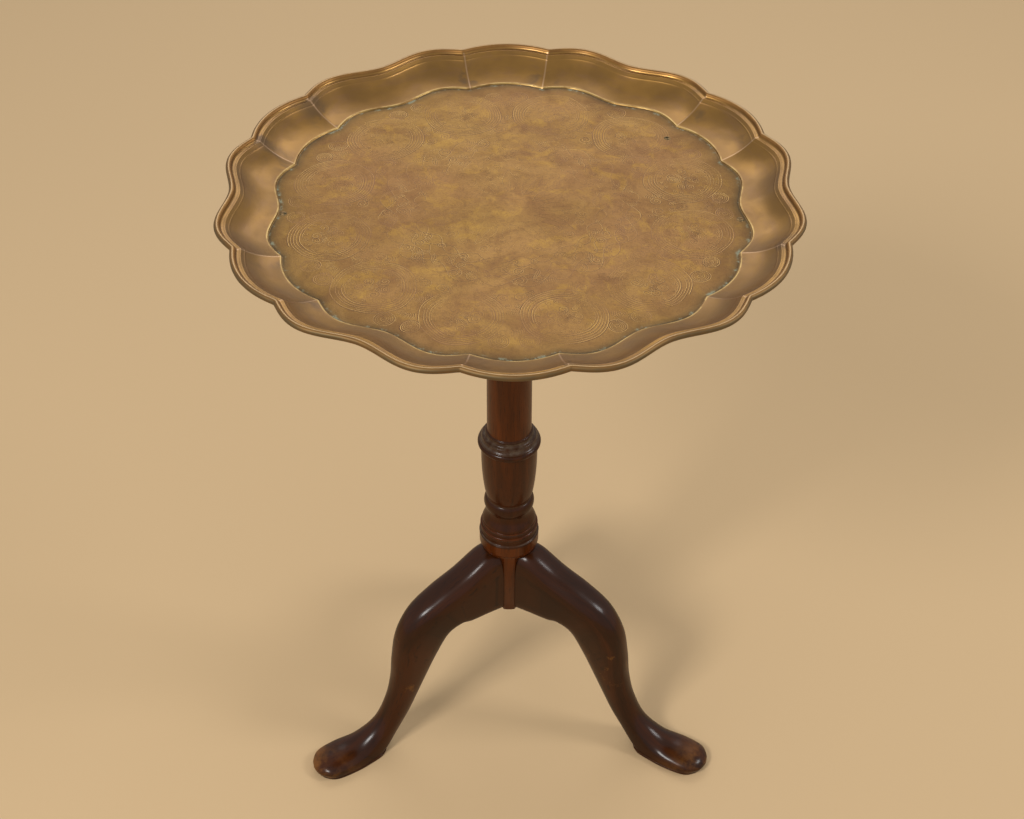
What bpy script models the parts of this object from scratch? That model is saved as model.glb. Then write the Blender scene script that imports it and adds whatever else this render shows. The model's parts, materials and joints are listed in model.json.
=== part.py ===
"""Brass tray table: a pie-crust brass tray on a tilting board, carried by a turned
mahogany pillar on three cabriole legs.

Frame: metres, +Z up, origin on the ground under the pillar's axis.  The front is -Y.
The top tips about a cross axis just in front of the pillar: the back edge rises and
the tray ends up vertical, facing the front.
"""
import math

import bmesh
import bpy
from mathutils import Matrix, Vector

MM = 0.001
GAP = 0.3                       # clearance between faces that touch, mm

# ---- driving dimensions, in mm ------------------------------------------------
RIM_HEIGHT = 690.0              # top of the tray's bead above the ground
RIM_RADIUS = 254.0              # radius of the bead's crest at a cusp of the outline
TRAY_DEPTH = 21.8               # tray floor below the bead's crest
TRAY_SHEET = 1.2
FLOOR_SCALE = 0.827             # floor outline / outer outline
BOARD_RADIUS = 212.0
BOARD_THICKNESS = 12.0
BEARER = (18.0, 340.0, 26.0)    # width, length, height
BLOCK = (104.0, 109.4, 25.0)    # width, depth, thickness
PIVOT_BELOW_BOARD = 13.0        # tilt axis below the board's underside
PIVOT_Y = -42.0
PIN_RADIUS = 5.0
HUB_RADIUS = 29.8
HUB_BOTTOM = 160.0
HUB_TOP = 241.0
LEG_ROOT = 159.5                # underside of a leg where it meets the hub
LEG_WIDTH = 44.6                # at the pillar
SPIDER_THICKNESS = 2.0
LEG_AZIMUTHS = {"leg_left": -150.0, "leg_right": -30.0, "leg_back": 90.0}
TOE_RADIUS = 250.7
BOLT_RADIUS = 2.8
BOLT_TRAVEL = 12.0

# ---- heights worked out from them ----------------------------------------------
FLOOR_Z = RIM_HEIGHT - TRAY_DEPTH
BOARD_TOP = FLOOR_Z - TRAY_SHEET - GAP
BOARD_BOTTOM = BOARD_TOP - BOARD_THICKNESS
UNDER_BOARD = BOARD_BOTTOM - GAP            # top of everything fixed under the board
PIVOT_Z = BOARD_BOTTOM - PIVOT_BELOW_BOARD
BLOCK_TOP = UNDER_BOARD
BLOCK_BOTTOM = BLOCK_TOP - BLOCK[2]
BLOCK_BACK = BLOCK[1] / 2
BEARER_X = BLOCK[0] / 2 + 0.4 + BEARER[0] / 2
SHOULDER = math.sqrt(HUB_RADIUS ** 2 - (LEG_WIDTH / 2) ** 2)
BOLT_Z = BOARD_BOTTOM - 8.0
KEEPER_Y = BLOCK_BACK + GAP
KEEPER_THICKNESS = 1.5
BOLT_TIP_Y = KEEPER_Y + KEEPER_THICKNESS + 3.5


# ---- scene, collections and materials -------------------------------------------
for leftover in list(bpy.data.objects):
    bpy.data.objects.remove(leftover, do_unlink=True)

parts = bpy.data.collections.new("brass_tray_table")
cutters = bpy.data.collections.new("cutters")
for collection in (parts, cutters):
    bpy.context.scene.collection.children.link(collection)
cutters.hide_render = True


def make_material(name, colour, roughness, metallic):
    material = bpy.data.materials.new(name)
    material.use_nodes = True
    shader = material.node_tree.nodes["Principled BSDF"]
    shader.inputs["Base Color"].default_value = (*colour, 1.0)
    shader.inputs["Roughness"].default_value = roughness
    shader.inputs["Metallic"].default_value = metallic
    return material


AGED_BRASS = ((0.36, 0.23, 0.08), 0.38, 1.0)
MAHOGANY = ((0.085, 0.028, 0.012), 0.28, 0.0)
DULL_MAHOGANY = ((0.14, 0.060, 0.028), 0.55, 0.0)
FITTING_BRASS = ((0.45, 0.31, 0.12), 0.40, 1.0)
SCREW_STEEL = ((0.22, 0.20, 0.18), 0.50, 1.0)
PLATE_IRON = ((0.06, 0.055, 0.05), 0.65, 1.0)


# ---- object helpers (all sizes in mm, converted once here) ----------------------
CUTTER = "cutter"               # the look of a tool that only shapes other pieces


def place(name, mesh, look=CUTTER, location=(0, 0, 0)):
    """Wrap a mesh as a named sub-part or a hidden cutter; look None keeps its material."""
    obj = bpy.data.objects.new(name, mesh)
    obj.location = Vector(location) * MM
    if look == CUTTER:
        cutters.objects.link(obj)
        obj.hide_render = True
        obj.display_type = "WIRE"
        return obj
    parts.objects.link(obj)
    if look:
        mesh.materials.append(make_material(name, *look))
    return obj


def mesh_from(name, bm, smooth_angle=35.0):
    bmesh.ops.scale(bm, vec=(MM, MM, MM), verts=bm.verts)
    mesh = bpy.data.meshes.new(name)
    bm.to_mesh(mesh)
    bm.free()
    mesh.shade_smooth()
    mesh.set_sharp_from_angle(angle=math.radians(smooth_angle))
    return mesh


def box(name, size, location, look=CUTTER):
    bm = bmesh.new()
    bmesh.ops.create_cube(bm, size=1.0)
    bmesh.ops.scale(bm, vec=size, verts=bm.verts)
    return place(name, mesh_from(name, bm), look, location)


def rod(name, radius, length, location, axis="Z", look=CUTTER, sides=16):
    """A round bar centred on location."""
    bm = bmesh.new()
    bmesh.ops.create_cone(bm, cap_ends=True, segments=sides, radius1=radius,
                          radius2=radius, depth=length)
    turn = {"X": Matrix.Rotation(math.radians(90), 3, "Y"),
            "Y": Matrix.Rotation(math.radians(-90), 3, "X"), "Z": Matrix.Identity(3)}
    bmesh.ops.rotate(bm, cent=(0, 0, 0), matrix=turn[axis], verts=bm.verts)
    return place(name, mesh_from(name, bm), look, location)


def turned(name, profile, look=CUTTER, location=(0, 0, 0), steps=24):
    """Revolve (radius, z) points, listed from the top down, about Z."""
    bm = bmesh.new()
    verts = [bm.verts.new((radius, 0.0, z)) for radius, z in profile]
    for upper, lower in zip(verts, verts[1:]):
        bm.edges.new((upper, lower))
    obj = place(name, mesh_from(name, bm), look, location)
    screw = obj.modifiers.new("turn", "SCREW")
    screw.steps = screw.render_steps = steps
    screw.use_merge_vertices = True
    screw.merge_threshold = 0.00001
    screw.use_smooth_shade = True
    return obj


def cut(obj, *tools, operation="DIFFERENCE"):
    for tool in tools:
        boolean = obj.modifiers.new(tool.name, "BOOLEAN")
        boolean.operation = operation
        boolean.object = tool
    return obj


def bevel(obj, width, segments=1, angle=40.0):
    modifier = obj.modifiers.new("edges", "BEVEL")
    modifier.width = width * MM
    modifier.segments = segments
    modifier.limit_method = "ANGLE"
    modifier.angle_limit = math.radians(angle)
    return obj


def loft(name, rings, look=CUTTER, close_ends=True, location=(0, 0, 0)):
    """Skin a list of equal-length closed rings of points; the ends become flat caps."""
    bm = bmesh.new()
    loops = [[bm.verts.new(point) for point in ring] for ring in rings]
    for lower, upper in zip(loops, loops[1:]):
        for i in range(len(lower)):
            j = (i + 1) % len(lower)
            bm.faces.new((lower[i], lower[j], upper[j], upper[i]))
    if close_ends:
        bm.faces.new(reversed(loops[0]))
        bm.faces.new(loops[-1])
    bmesh.ops.recalc_face_normals(bm, faces=bm.faces)
    return place(name, mesh_from(name, bm), look, location)


def baked(obj):
    """Replace an object's mesh by its evaluated one, so that copies can share it."""
    bpy.context.view_layer.update()
    graph = bpy.context.evaluated_depsgraph_get()
    mesh = bpy.data.meshes.new_from_object(obj.evaluated_get(graph))
    obj.modifiers.clear()
    obj.data = mesh
    return mesh


def ramp(x, table):
    """Straight-line interpolation in a short table of (x, value) pairs."""
    for (x0, v0), (x1, v1) in zip(table, table[1:]):
        if x <= x1:
            return v0 + (v1 - v0) * max(x - x0, 0.0) / (x1 - x0)
    return table[-1][1]


# ---- screws ------------------------------------------------------------------------
def screw_mesh(name, head_radius, shank_radius, length, dome=0.0, sides=10):
    """Slotted wood screw, head up at z = 0: a flat or slightly domed countersunk head."""
    profile = [(0.0, dome), (head_radius * 0.75, dome * 0.6), (head_radius, 0.0),
               (shank_radius, shank_radius - head_radius), (shank_radius, -length * 0.8),
               (0.0, -length)]
    if dome == 0.0:
        profile.pop(1)
    screw = turned(name, profile, steps=sides)
    slot = box(name + "_slot", (3 * head_radius, 0.22 * head_radius + 0.25, 1.2), (0, 0, dome))
    cut(screw, slot)
    mesh = baked(screw)
    bpy.data.objects.remove(screw)
    bpy.data.objects.remove(slot)
    return mesh


def screw_hole(name, head_radius, shank_radius, length, dome=0.0):
    """Cutter for a screw's hole: its shape plus the gap all round."""
    profile = [(0.0, 4.0), (head_radius + GAP, 4.0), (head_radius + GAP, -GAP / 2),
               (shank_radius + GAP, shank_radius - head_radius - GAP / 2),
               (shank_radius + GAP, -length - GAP), (0.0, -length - GAP)]
    return turned(name, profile, steps=10)


class ScrewKind:
    """One size of screw: every copy shares a mesh and a material."""

    def __init__(self, name, look, **size):
        self.mesh = screw_mesh(name, **size)
        self.mesh.materials.append(make_material(name, *look))
        self.size = size

    def drive(self, name, head, direction, pieces):
        """Put a screw at head, pointing along direction, through pieces."""
        turn = Vector((0, 0, -1)).rotation_difference(Vector(direction))
        screw = place(name, self.mesh, None, head)
        hole = screw_hole(name + "_hole", **self.size)
        hole.location = screw.location
        for obj in (screw, hole):
            obj.rotation_mode = "QUATERNION"
            obj.rotation_quaternion = turn
        for piece in pieces:
            cut(piece, hole)
        return screw


TRAY_SCREW = ScrewKind("tray_screw_mesh", FITTING_BRASS, head_radius=3.6, shank_radius=1.6,
                       length=10.0, dome=0.9)
BEARER_SCREW = ScrewKind("bearer_screw_mesh", SCREW_STEEL, head_radius=4.0, shank_radius=2.0,
                         length=35.0)
SMALL_SCREW = ScrewKind("small_screw_mesh", FITTING_BRASS, head_radius=2.4, shank_radius=1.2,
                        length=9.5)
SPIDER_SCREW = ScrewKind("spider_screw_mesh", SCREW_STEEL, head_radius=3.6, shank_radius=1.8,
                         length=20.0)


# ---- brass tray ---------------------------------------------------------------------
LOBE_HALF_ANGLE = 9.7           # cusp to the middle of a short lobe, degrees
LOBE_PEAK = 1.043               # outline radius / RIM_RADIUS at a lobe's middle
LOBE_ARC = 0.350                # a lobe's own arc radius / RIM_RADIUS
WAVE_MEAN, WAVE_SWING, WAVE_HALF_PERIOD = 1.0165, 0.0255, 13.0


def outline_radius(azimuth):
    """Outer edge of the pie-crust outline: six short lobes joined by long waves."""
    from_lobe = abs((azimuth + 30.0 + 30.0) % 60.0 - 30.0)
    if from_lobe <= LOBE_HALF_ANGLE:
        centre = LOBE_PEAK - LOBE_ARC
        along = centre * math.cos(math.radians(from_lobe))
        across = centre * math.sin(math.radians(from_lobe))
        return RIM_RADIUS * (along + math.sqrt(LOBE_ARC ** 2 - across ** 2))
    from_dip = 30.0 - from_lobe
    wave = math.cos(math.pi * from_dip / WAVE_HALF_PERIOD)
    return RIM_RADIUS * (WAVE_MEAN - WAVE_SWING * wave)


def outline_azimuths(per_lobe=4, per_wave=8):
    angles = []
    for lobe in range(6):
        middle = -90.0 + 60.0 * lobe
        wave = 60.0 - 2 * LOBE_HALF_ANGLE
        angles += [middle + LOBE_HALF_ANGLE * (2 * i / per_lobe - 1) for i in range(per_lobe)]
        angles += [middle + LOBE_HALF_ANGLE + wave * i / per_wave for i in range(per_wave)]
    return angles


def tray_ring(inset, depth, scale=1.0):
    ring = []
    for azimuth in outline_azimuths():
        radius = outline_radius(azimuth) * scale - inset
        a = math.radians(azimuth)
        ring.append((radius * math.cos(a), radius * math.sin(a), RIM_HEIGHT - depth))
    return ring


def brass_tray():
    rings = [tray_ring(0.0, TRAY_DEPTH, FLOOR_SCALE)]
    for share, depth in ((0.045, 20.1), (0.33, 18.1), (0.57, 15.0), (0.79, 10.8)):
        scale = FLOOR_SCALE + (1.0 - FLOOR_SCALE) * share
        rings.append(tray_ring(15.4 * share, depth, scale))
    for inset, depth in ((15.4, 5.0), (9.6, 4.0), (6.0, 3.8), (5.1, 2.3), (2.6, 0.0),
                         (0.7, 0.9), (0.0, 2.5), (0.7, 4.4)):
        rings.append(tray_ring(inset, depth))
    tray = loft("brass_tray", rings, AGED_BRASS, close_ends=False)
    bm = bmesh.new()
    bm.from_mesh(tray.data)
    bm.verts.ensure_lookup_table()
    bm.faces.new([bm.verts[i] for i in range(len(rings[0]))])
    bmesh.ops.recalc_face_normals(bm, faces=bm.faces)
    floor = min(bm.faces, key=lambda face: -len(face.verts))
    if floor.normal.z < 0:
        bmesh.ops.reverse_faces(bm, faces=bm.faces)
    bm.to_mesh(tray.data)
    bm.free()
    sheet = tray.modifiers.new("sheet", "SOLIDIFY")
    sheet.thickness = TRAY_SHEET * MM
    sheet.offset = -1.0
    sheet.use_even_offset = True
    return tray


# ---- tilting top: board, bearers, fixings --------------------------------------------
def backing_board():
    edge = 6.0
    profile = [(0.0, BOARD_TOP), (BOARD_RADIUS, BOARD_TOP), (BOARD_RADIUS, BOARD_TOP - edge),
               (BOARD_RADIUS - 2.5, BOARD_BOTTOM + 2.0), (BOARD_RADIUS - 7.0, BOARD_BOTTOM),
               (0.0, BOARD_BOTTOM)]
    return turned("tray_backing_board", profile, DULL_MAHOGANY, steps=48)


def bearer(name, side):
    """Bar under the board, its ends cut away below in a shallow slope."""
    width, length, height = BEARER
    half, taper = length / 2, 45.0
    bottom, end_height = -height, -9.0
    outline = [(-half, 0.0), (-half, end_height), (-half + taper, bottom),
               (half - taper, bottom), (half, end_height), (half, 0.0)]
    rings = [[(x, y, z) for y, z in outline] for x in (-width / 2, width / 2)]
    bar = loft(name, rings, DULL_MAHOGANY, location=(side * BEARER_X, 0, UNDER_BOARD))
    bevel(bar, 1.5)
    hole = rod(name + "_bore", PIN_RADIUS + 0.35, width + 4,
               (side * BEARER_X, PIVOT_Y, PIVOT_Z), "X", sides=16)
    return cut(bar, hole)


def catch_plate():
    """Barrel-bolt body: a base plate with two guides bored for the bolt."""
    length, centre_y = 46.0, BOLT_TIP_Y + 22.0
    plate_z = UNDER_BOARD - 0.6
    plate = box("catch_plate", (22.0, length, 1.2), (0, centre_y, plate_z), FITTING_BRASS)
    lug_height = 11.6
    for label, y in (("front", centre_y - 16.0), ("rear", centre_y + 16.0)):
        lug = box("catch_guide_" + label, (11.0, 6.0, lug_height),
                  (0, y, UNDER_BOARD - 0.6 - lug_height / 2))
        cut(plate, lug, operation="UNION")
    bore = rod("catch_bore", BOLT_RADIUS + GAP, length + 10, (0, centre_y, BOLT_Z), "Y",
               sides=12)
    return cut(plate, bore)


def catch_bolt():
    length = 44.0
    bolt = rod("catch_bolt", BOLT_RADIUS, length, (0, BOLT_TIP_Y + length / 2, BOLT_Z), "Y",
               FITTING_BRASS, sides=12)
    bevel(bolt, 0.6)
    socket = rod("catch_knob_socket", 1.2 + GAP, 3.0,
                 (0, BOLT_TIP_Y + 26.0, BOLT_Z - BOLT_RADIUS + 0.5), sides=12)
    return cut(bolt, socket)


def catch_knob():
    top = BOLT_Z - BOLT_RADIUS + 1.6
    profile = [(0.0, top), (1.2, top), (1.2, top - 2.0), (1.8, top - 2.6), (1.8, top - 5.0),
               (3.4, top - 6.4), (4.2, top - 8.6), (3.4, top - 10.8), (1.6, top - 12.0),
               (0.0, top - 12.2)]
    local = [(radius, z - BOLT_Z) for radius, z in profile]
    return turned("catch_knob", local, FITTING_BRASS, (0, BOLT_TIP_Y + 26.0, BOLT_Z), steps=16)


# ---- pillar and its block ---------------------------------------------------------------
def arc(centre_radius, centre_z, radius, start, end, count):
    """Points of a circular arc in (radius, z); angles in degrees from +radius."""
    points = []
    for i in range(count):
        a = math.radians(start + (end - start) * i / (count - 1))
        points.append((centre_radius + radius * math.cos(a), centre_z + radius * math.sin(a)))
    return points


TENON_RADIUS = 13.0


def pillar_profile():
    shaft = [(0.0, BLOCK_TOP - GAP), (TENON_RADIUS, BLOCK_TOP - GAP),
             (TENON_RADIUS, BLOCK_BOTTOM - GAP), (20.5, BLOCK_BOTTOM - GAP),
             (21.4, 560.0), (22.4, 480.0), (22.6, 402.0)]
    collar = [(24.2, 400.2), (24.4, 398.0), (26.6, 394.8), (27.6, 394.0), (30.4, 389.6),
              *arc(28.6, 384.8, 3.6, 55, -65, 5), (29.2, 381.0)]
    vase = [(28.6, 379.0), (28.8, 366.0), (28.4, 350.0), (27.3, 334.0), (25.5, 319.0),
            (23.2, 310.8)]
    bead = [(23.4, 308.6), (25.4, 304.0), (26.0, 298.5), (25.2, 293.2), (23.2, 289.4)]
    foot = [(22.8, 286.6), (24.6, 281.8), (27.0, 278.6), (28.2, 275.6), (28.8, 274.0),
            (28.3, 272.4), (29.2, 269.8), (30.6, 267.6), (29.8, 265.2), (29.8, 261.4),
            (31.0, 258.8)]
    drum = [(31.6, 257.8), (31.4, 243.6), (HUB_RADIUS, HUB_TOP), (HUB_RADIUS, HUB_BOTTOM),
            (0.0, HUB_BOTTOM)]
    return [*shaft, *collar, *vase, *bead, *foot, *drum]


TONGUE = (12.0, 16.0, 10.0)     # width at the shoulder, width inside, inner radius


def dovetail(name, azimuth, grow, low, high):
    """Dovetail key of a leg, or its slot when grow is positive."""
    near, far, inner = TONGUE
    outer_r = SHOULDER + 3.0
    plan = [(inner - grow, far / 2 + grow), (inner - grow, -far / 2 - grow),
            (outer_r, -near / 2 - grow), (outer_r, near / 2 + grow)]
    rings = [[(x, y, z) for x, y in plan] for z in (low, high)]
    key = loft(name, rings)
    key.rotation_euler.z = math.radians(azimuth)
    return key


def column():
    pillar = turned("column", pillar_profile(), MAHOGANY)
    for name, azimuth in LEG_AZIMUTHS.items():
        a = math.radians(azimuth)
        reach = 30.0
        seat_height = HUB_TOP - HUB_BOTTOM + 4.0
        centre_r = SHOULDER - GAP + reach / 2
        seat = box(name + "_seat", (reach, LEG_WIDTH + 2 * GAP, seat_height),
                   (centre_r * math.cos(a), centre_r * math.sin(a),
                    HUB_TOP - GAP - seat_height / 2))
        seat.rotation_euler.z = a
        slot = dovetail(name + "_slot", azimuth, GAP, HUB_BOTTOM - 4.0, HUB_TOP - 6.0)
        cut(pillar, seat, slot)
    kerf = box("tenon_kerf", (3.2, 2 * TENON_RADIUS + 2, 20.0), (0, 0, BLOCK_TOP - 6.0))
    return cut(pillar, kerf)


def tenon_wedge():
    top, bottom = BLOCK_TOP - GAP, BLOCK_TOP - 15.5
    rings = [[(-t, -11.0, z), (t, -11.0, z), (t, 11.0, z), (-t, 11.0, z)]
             for t, z in ((0.5, bottom), (1.25, top))]
    return loft("tenon_wedge", rings, DULL_MAHOGANY)


def pivot_block():
    """Square block on the pillar; its front edge is rounded about the tilt axis."""
    width, depth, thickness = BLOCK
    round_over = PIVOT_BELOW_BOARD - GAP
    nose = arc(PIVOT_Y, PIVOT_Z, round_over, 180, 90, 7)
    outline = [(-depth / 2, BLOCK_BOTTOM), *nose, (depth / 2, BLOCK_TOP),
               (depth / 2, BLOCK_BOTTOM)]
    rings = [[(x, y, z) for y, z in outline] for x in (-width / 2, width / 2)]
    block = loft("pivot_block", rings, DULL_MAHOGANY)
    mortise = rod("pillar_mortise", TENON_RADIUS + GAP + 0.1, thickness + 6,
                  (0, 0, BLOCK_TOP - thickness / 2), sides=24)
    bolt_hole = rod("bolt_hole", BOLT_RADIUS + 0.5, 2 * (BOLT_TRAVEL - 2), (0, BLOCK_BACK, BOLT_Z),
                    "Y", sides=12)
    cut(block, mortise, bolt_hole)
    for label, side in (("left", -1), ("right", 1)):
        cut(block, rod("pin_socket_" + label, PIN_RADIUS + GAP, 2 * 22.5,
                       (side * width / 2, PIVOT_Y, PIVOT_Z), "X", sides=16))
    return block


def pivot_pin(name, side):
    inner, outer = BLOCK[0] / 2 - 21.5, BEARER_X + BEARER[0] / 2 - 0.4
    pin = rod(name, PIN_RADIUS, outer - inner, (side * (inner + outer) / 2, PIVOT_Y, PIVOT_Z),
              "X", FITTING_BRASS, sides=16)
    return bevel(pin, 0.6)


def keeper_plate():
    plate = box("keeper_plate", (32.0, KEEPER_THICKNESS, 17.0),
                (0, KEEPER_Y + KEEPER_THICKNESS / 2, BOLT_Z - 2.0), FITTING_BRASS)
    hole = rod("keeper_hole", BOLT_RADIUS + 0.5, 10.0, (0, KEEPER_Y, BOLT_Z), "Y", sides=12)
    return cut(plate, hole)


# ---- legs ------------------------------------------------------------------------------
# Crown and underside of the cabriole, (distance from the pillar's axis, height).
LEG_CROWN = [(SHOULDER, 240.0), (34, 237.5), (60, 222), (92, 207.5), (120.5, 190.5), (138.5, 165),
             (146, 131), (149.5, 99), (157, 69), (172, 40), (198, 22.5), (222, 18.5),
             (240, 16), (248.6, 11.5), (TOE_RADIUS, 7.5)]
LEG_UNDER = [(SHOULDER, LEG_ROOT), (36, LEG_ROOT), (58, LEG_ROOT), (70, 161.5), (84, 151.5), (97, 123),
             (108, 97), (119.5, 71), (134.5, 42), (155.5, 14), (180, 0), (206, 0),
             (232, 0), (243, 0), (247, 0)]
LEG_HALF_WIDTH = [(0, 22.3), (3, 21.4), (4, 20.4), (5, 18.2), (6, 16.4), (7, 15.0), (8, 14.0),
                  (9, 15.0), (10, 19.0), (11, 22.0), (12, 20.5), (13, 13.0), (14, 6.0)]


def signed_power(value, exponent):
    return math.copysign(abs(value) ** exponent, value)


def leg_section(low, high, half_width, top_power, side_power, sides=16):
    """Closed ring in the plane through the underside and crown points."""
    ring = []
    middle = [(a + b) / 2 for a, b in zip(low, high)]
    half = [(b - a) / 2 for a, b in zip(low, high)]
    for i in range(sides):
        angle = 2 * math.pi * (i + 0.5) / sides
        upward = math.sin(angle) > 0
        exponent = 2.0 / (top_power if upward else side_power)
        across = half_width * signed_power(math.cos(angle), exponent)
        up = signed_power(math.sin(angle), exponent)
        ring.append((middle[0] + half[0] * up, across, middle[1] + half[1] * up))
    return ring


def leg_stations(points, per_span=2):
    """The control points and, between them, points on a smooth curve."""
    ends = [points[0], *points, points[-1]]
    stations = []
    for p0, p1, p2, p3 in zip(ends, ends[1:], ends[2:], ends[3:]):
        for step in range(per_span):
            t = step / per_span
            stations.append(tuple(
                0.5 * (2 * b + (c - a) * t + (2 * a - 5 * b + 4 * c - d) * t * t
                       + (3 * b - a - 3 * c + d) * t ** 3)
                for a, b, c, d in zip(p0, p1, p2, p3)))
    return [*stations, points[-1]]


def leg(name, azimuth):
    crown, under = leg_stations(LEG_CROWN), leg_stations(LEG_UNDER)
    rings = []
    for i, (low, high) in enumerate(zip(under, crown)):
        index = i / 2
        half_width = ramp(index, LEG_HALF_WIDTH)
        top_power = ramp(index, [(0, 2.6), (4, 2.2), (7, 2.0), (14, 2.0)])
        side_power = ramp(index, [(0, 9.0), (3, 7.0), (5, 3.2), (7, 2.2), (9, 2.6), (10, 7.0),
                                  (14, 7.0)])
        low = (low[0], max(low[1], 0.0))
        rings.append(leg_section(low, high, half_width, top_power, side_power))
    shape = loft(name, rings, MAHOGANY)
    key = dovetail(name + "_key", 0.0, 0.0, HUB_BOTTOM + 0.4, HUB_TOP - 7.0)
    cut(shape, key, operation="UNION")
    for obj in (shape, key):
        obj.rotation_euler.z = math.radians(azimuth)
    return shape


def spider_plate():
    """Thin iron plate with three arms under the hub and the roots of the legs."""
    arm_width, arm_reach = 17.0, 44.0
    plan = []
    for azimuth in LEG_AZIMUTHS.values():
        a = math.radians(azimuth)
        along, across = Vector((math.cos(a), math.sin(a))), Vector((-math.sin(a), math.cos(a)))
        half = arm_width / 2
        plan.append(-half * across + half / math.sqrt(3) * along)
        plan.append(arm_reach * along - half * across)
        plan.append((arm_reach + 5) * along - half * 0.5 * across)
        plan.append((arm_reach + 5) * along + half * 0.5 * across)
        plan.append(arm_reach * along + half * across)
    top = LEG_ROOT - GAP
    rings = [[(p.x, p.y, z) for p in plan] for z in (top - SPIDER_THICKNESS, top)]
    return loft("spider_plate", rings, PLATE_IRON)


# ---- build ------------------------------------------------------------------------------
tray = brass_tray()
board = backing_board()
bearers = {"left": bearer("bearer_left", -1), "right": bearer("bearer_right", 1)}
plate = catch_plate()
bolt = catch_bolt()
knob = catch_knob()
top_parts = [tray, board, plate, *bearers.values()]

TRAY_FIXINGS = {"tray_screw_right": (207.5, -6.0), "tray_screw_left": (204.0, -178.0),
                "tray_screw_back": (191.5, 37.0)}
for name, (radius, azimuth) in TRAY_FIXINGS.items():
    a = math.radians(azimuth)
    head = (radius * math.cos(a), radius * math.sin(a), FLOOR_Z)
    top_parts.append(TRAY_SCREW.drive(name, head, (0, 0, -1), [tray, board]))

for side, bar in bearers.items():
    x = bar.location.x / MM
    for label, y in (("front", -112.0), ("middle", 30.0), ("back", 112.0)):
        head = (x, y, UNDER_BOARD - BEARER[2])
        name = "bearer_screw_{}_{}".format(side, label)
        top_parts.append(BEARER_SCREW.drive(name, head, (0, 0, 1), [bar, board]))

plate_y = plate.location.y / MM
for label, x, y in (("front_left", -8, -10), ("front_right", 8, -10),
                    ("rear_left", -8, 10), ("rear_right", 8, 10)):
    head = (x, plate_y + y, UNDER_BOARD - 1.2)
    top_parts.append(SMALL_SCREW.drive("catch_screw_" + label, head, (0, 0, 1), [plate, board]))

pillar = column()
block = pivot_block()
tenon_wedge()
pivot_pin("pivot_pin_left", -1)
pivot_pin("pivot_pin_right", 1)
keeper = keeper_plate()
for label, x in (("left", -11.5), ("right", 11.5)):
    head = (x, KEEPER_Y + KEEPER_THICKNESS, BOLT_Z - 2.0)
    SMALL_SCREW.drive("keeper_screw_" + label, head, (0, -1, 0), [keeper, block])

legs = {name: leg(name, azimuth) for name, azimuth in LEG_AZIMUTHS.items()}
spider = spider_plate()
spider_under = LEG_ROOT - GAP - SPIDER_THICKNESS
SPIDER_SCREW.drive("spider_screw_hub", (0, 0, spider_under), (0, 0, 1), [spider, pillar])
for name, azimuth in LEG_AZIMUTHS.items():
    a = math.radians(azimuth)
    head = (38 * math.cos(a), 38 * math.sin(a), spider_under)
    SPIDER_SCREW.drive(name.replace("leg", "spider_screw"), head, (0, 0, 1),
                       [spider, legs[name]])

# ---- moving bodies hang from empties on their axes -------------------------------------
tilt_axis = bpy.data.objects.new("tilt_axis", None)
tilt_axis.location = Vector((0, PIVOT_Y, PIVOT_Z)) * MM
bolt_axis = bpy.data.objects.new("bolt_axis", None)
bolt_axis.location = Vector((0, BOLT_TIP_Y, BOLT_Z)) * MM
for empty in (tilt_axis, bolt_axis):
    parts.objects.link(empty)
bpy.context.view_layer.update()
for axis, children in ((tilt_axis, [*top_parts, bolt_axis]), (bolt_axis, [bolt, knob])):
    for child in children:
        child.parent = axis
        child.matrix_parent_inverse = axis.matrix_world.inverted()
bpy.context.view_layer.update()
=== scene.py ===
"""Looks of the brass tray table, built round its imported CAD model.

The tray, the pillar and the legs are fine meshes that stand for their CAD nodes, with
the engraving and the soles added; the board, bearers, block and fittings keep their CAD
shape and get softened edges and worked materials.  Lengths are in millimetres until a
mesh is made.
"""

import json
import math

import bmesh
import bpy
import numpy as np
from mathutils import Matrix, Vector


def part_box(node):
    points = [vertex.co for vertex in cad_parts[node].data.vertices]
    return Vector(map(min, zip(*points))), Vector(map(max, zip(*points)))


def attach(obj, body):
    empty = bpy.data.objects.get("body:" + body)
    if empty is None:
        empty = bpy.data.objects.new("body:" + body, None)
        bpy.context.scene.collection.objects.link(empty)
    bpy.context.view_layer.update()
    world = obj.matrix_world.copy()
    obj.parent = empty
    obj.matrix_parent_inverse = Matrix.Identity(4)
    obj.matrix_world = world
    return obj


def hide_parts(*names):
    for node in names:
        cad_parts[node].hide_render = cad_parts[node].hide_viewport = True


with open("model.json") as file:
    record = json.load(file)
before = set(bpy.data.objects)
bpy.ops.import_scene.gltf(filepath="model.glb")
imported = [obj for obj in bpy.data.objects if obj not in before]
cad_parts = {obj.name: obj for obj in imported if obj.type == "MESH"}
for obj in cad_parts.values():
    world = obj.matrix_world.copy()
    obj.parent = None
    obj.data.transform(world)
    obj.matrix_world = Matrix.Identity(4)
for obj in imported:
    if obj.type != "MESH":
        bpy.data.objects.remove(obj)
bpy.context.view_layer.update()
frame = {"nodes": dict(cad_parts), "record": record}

MM = 0.001
TAU = 2.0 * math.pi


def node_box(name):
    """Lowest and highest corner of a CAD node, in mm."""
    low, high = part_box(name)
    return np.array(low) / MM, np.array(high) / MM


def mount_height(name):
    """Height of a mount above the ground, in mm."""
    mounts = {mount["name"]: mount for mount in frame["record"]["mounts"]}
    return mounts[name]["pos_m"][2] / MM


# ---- driving sizes, read from the frame -------------------------------------------
_, tray_high = node_box("brass_tray")
pillar_low, _ = node_box("column")
_, leg_high = node_box("leg_back")

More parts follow.
